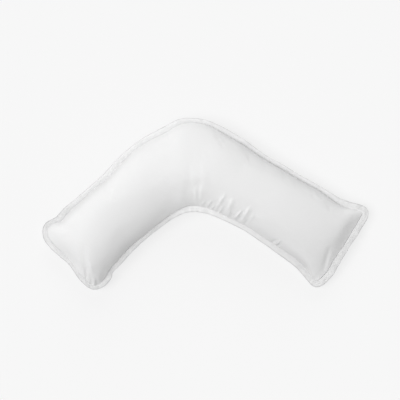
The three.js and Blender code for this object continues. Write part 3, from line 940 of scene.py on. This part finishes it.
def woven_cotton(name, colour, thread_mm, rough):
    """Plain weave: two sets of waves, a thread apart, and a noise that is long along the threads."""
    material, tree, shader = new_material(name)
    cut = add(tree, "ShaderNodeUVMap", {"uv_map": "cut"}).outputs["UV"]
    warp = add(
        tree, "ShaderNodeTexWave",
        {"bands_direction": "X", "Scale": wave_scale(thread_mm), "Distortion": 0.4, "Detail": 1.0},
        {"Vector": cut},
    )
    weft = add(
        tree, "ShaderNodeTexWave",
        {"bands_direction": "Y", "Scale": wave_scale(thread_mm), "Distortion": 0.4, "Detail": 1.0},
        {"Vector": cut},
    )
    weave = add(tree, "ShaderNodeMix", {"data_type": "RGBA", "blend_type": "MULTIPLY"})
    weave.inputs["Factor"].default_value = 1.0
    tree.links.new(warp.outputs["Color"], weave.inputs[6])
    tree.links.new(weft.outputs["Color"], weave.inputs[7])
    slubs_per_metre = (1 / (SLUB_LONG_MM * MM), 1 / (SLUB_WIDE_MM * MM), 1)
    along = add(tree, "ShaderNodeMapping", {"Scale": slubs_per_metre}, {"Vector": cut})
    slub = add(
        tree, "ShaderNodeTexNoise", {"Scale": 1.0, "Detail": 3.0}, {"Vector": along.outputs["Vector"]}
    )
    fuzz = add(tree, "ShaderNodeTexNoise", {"Scale": 1 / (FUZZ_MM * MM), "Detail": 5.0}, {"Vector": cut})
    weave_bump = add(
        tree, "ShaderNodeBump", {"Strength": 0.35, "Distance": 0.0002}, {"Height": weave.outputs[2]}
    )
    bump = add(
        tree, "ShaderNodeBump", {"Strength": 0.25, "Distance": 0.0004},
        {"Height": fuzz.outputs["Fac"], "Normal": weave_bump.outputs["Normal"]},
    )
    tone = add(tree, "ShaderNodeValToRGB", {}, {"Fac": slub.outputs["Fac"]})
    tone.color_ramp.elements[0].position = 0.3
    tone.color_ramp.elements[0].color = linear(colour[0])
    tone.color_ramp.elements[1].position = 0.7
    tone.color_ramp.elements[1].color = linear(colour[1])
    # painted light and shade: the cloth's colour is multiplied by the painted tone kept on the mesh's points
    painted_tone_node = add(tree, "ShaderNodeAttribute", {"attribute_name": "painted_light_and_shade"})
    painted_tone_mix = add(tree, "ShaderNodeMix", {"data_type": "RGBA", "blend_type": "MULTIPLY"})
    painted_tone_mix.inputs["Factor"].default_value = 1.0
    tree.links.new(tone.outputs["Color"], painted_tone_mix.inputs[6])
    tree.links.new(painted_tone_node.outputs["Fac"], painted_tone_mix.inputs[7])
    tree.links.new(painted_tone_mix.outputs[2], shader.inputs["Base Color"])
    tree.links.new(bump.outputs["Normal"], shader.inputs["Normal"])
    shader.inputs["Roughness"].default_value = rough
    shader.inputs["Specular IOR Level"].default_value = 0.3
    shader.inputs["Sheen Weight"].default_value = 0.06
    shader.inputs["Sheen Roughness"].default_value = 0.5
    return material


cover_cotton = woven_cotton("bleached cotton, plain woven", ("#e6e6e6", "#e8e8e8"), THREAD_MM, 0.9)
body.data.materials.append(cover_cotton)
print("threads of the cover in 10 mm:", round(10 / THREAD_MM))

# %% [markdown]
# The strip is the same cloth, folded and pressed. Its outer fold is painted darker as a line of shade, and
# its root and the stitched dip get a soft painted shade. The colour given here is that of the whitest place,
# and the painted light and shade kept on the strip's points bring it down from there.

# %% Folded cotton of the strip
strip_cotton = woven_cotton("bleached cotton, folded and stitched", ("#f2f2f2", "#f6f6f6"), THREAD_MM, 0.9)
strip.data.materials.append(strip_cotton)
print("darkest tone of the strip:", round(tones.min(), 2))

# %% [markdown]
# Sewing thread is spun polyester, two strands twisted together. It is as white as the cloth but a little
# glossier, so that a stitch catches a small light.

# %% Sewing thread
TWIST_MM = 0.5
thread, tree, shader = new_material("spun polyester sewing thread")
where = add(tree, "ShaderNodeTexCoord").outputs["Object"]
twist = add(
    tree, "ShaderNodeTexWave",
    {"bands_direction": "DIAGONAL", "Scale": wave_scale(TWIST_MM), "Distortion": 0.2}, {"Vector": where},
)
bump = add(tree, "ShaderNodeBump", {"Strength": 0.5, "Distance": 0.0001}, {"Height": twist.outputs["Fac"]})
tree.links.new(bump.outputs["Normal"], shader.inputs["Normal"])
shader.inputs["Base Color"].default_value = linear("#ececec")
shader.inputs["Roughness"].default_value = 0.55
stitches.data.materials.append(thread)
print("materials:", [material.name for material in bpy.data.materials if material.users])

# %% [markdown]
# The photograph was taken on a lit white sweep, where the floor is almost as bright as paper can be and
# the shadows are faint. So the floor here gives off part of its light itself, and reflects only a little.

# %% The floor
FLOOR_SIDE = 16
floor_corners = np.array([(-1, -1, 0), (1, -1, 0), (1, 1, 0), (-1, 1, 0)]) * FLOOR_SIDE / 2
floor_mesh = bpy.data.meshes.new("studio_floor")
floor_mesh.from_pydata(floor_corners.tolist(), [], [(0, 1, 2, 3)])
floor = bpy.data.objects.new("studio_floor", floor_mesh)
bpy.context.scene.collection.objects.link(floor)
paper, tree, shader = new_material("white paper sweep")
shader.inputs["Base Color"].default_value = linear("#7c7c7c")
shader.inputs["Roughness"].default_value = 1.0
shader.inputs["Specular IOR Level"].default_value = 0
shader.inputs["Emission Color"].default_value = (1, 1, 1, 1)
shader.inputs["Emission Strength"].default_value = 0.717
floor.data.materials.append(paper)
print("floor, m:", FLOOR_SIDE)

# %% [markdown]
# Four soft lights: an even dome, a main lamp from the left, a low lamp from beyond the bend, and a weak
# lamp from the open side of the V. Their strengths were worked out by rendering each light alone and
# finding the mix that gives the cloth the tones of the photograph.

# %% The lights
world = bpy.data.worlds.new("soft studio")
bpy.context.scene.world = world
world.use_nodes = True
world.node_tree.nodes["Background"].inputs["Color"].default_value = (1, 1, 1, 1)
world.node_tree.nodes["Background"].inputs["Strength"].default_value = 0.428
LAMP_COLUMNS = ("name", "azimuth", "elevation", "energy", "spread")
LAMP_ROWS = (
    ("main_lamp", 180, 60, 1.51, 35),
    ("back_lamp", 90, 30, 0.888, 35),
    ("front_lamp", 270, 60, 0.254, 35),
)
for lamp_row in LAMP_ROWS:
    lamp = dict(zip(LAMP_COLUMNS, lamp_row))
    lamp_data = bpy.data.lights.new(lamp["name"], "SUN")
    lamp_data.energy = lamp["energy"]
    lamp_data.angle = np.radians(lamp["spread"])
    azimuth, elevation = np.radians([lamp["azimuth"], lamp["elevation"]])
    level = np.cos(elevation)
    towards = Vector((np.cos(azimuth) * level, np.sin(azimuth) * level, np.sin(elevation)))
    lamp_object = bpy.data.objects.new(lamp["name"], lamp_data)
    lamp_object.rotation_euler = towards.to_track_quat("Z", "Y").to_euler()
    bpy.context.scene.collection.objects.link(lamp_object)
print("lamps:", len(LAMP_ROWS))

# %% [markdown]
# The photograph looks straight down at the pillow's face. One pixel of it is 2.1 mm at the height of the
# seam, and the middle of the pillow is a little right of and below the frame's middle.

# %% The camera
MM_PER_PIXEL = 2.1
FRAME_PIXELS = 400
BOX_CENTRE_PIXEL = (205.75, 204.0)
SEAM_PLANE = 0.040
CAMERA_HEIGHT = 3.0
SENSOR_MM = 36
camera_data = bpy.data.cameras.new("camera")
camera = bpy.data.objects.new("camera", camera_data)
bpy.context.scene.collection.objects.link(camera)
bpy.context.scene.camera = camera
aim_x = -(BOX_CENTRE_PIXEL[0] - FRAME_PIXELS / 2) * MM_PER_PIXEL * MM
aim_y = (BOX_CENTRE_PIXEL[1] - FRAME_PIXELS / 2) * MM_PER_PIXEL * MM
camera.location = (aim_x, aim_y, SEAM_PLANE + CAMERA_HEIGHT)
camera_data.sensor_width = SENSOR_MM
camera_data.lens = SENSOR_MM * CAMERA_HEIGHT / (FRAME_PIXELS * MM_PER_PIXEL * MM)
camera_data.clip_end = 100
bpy.context.scene.view_settings.view_transform = "Standard"
print("lens, mm:", round(camera_data.lens))
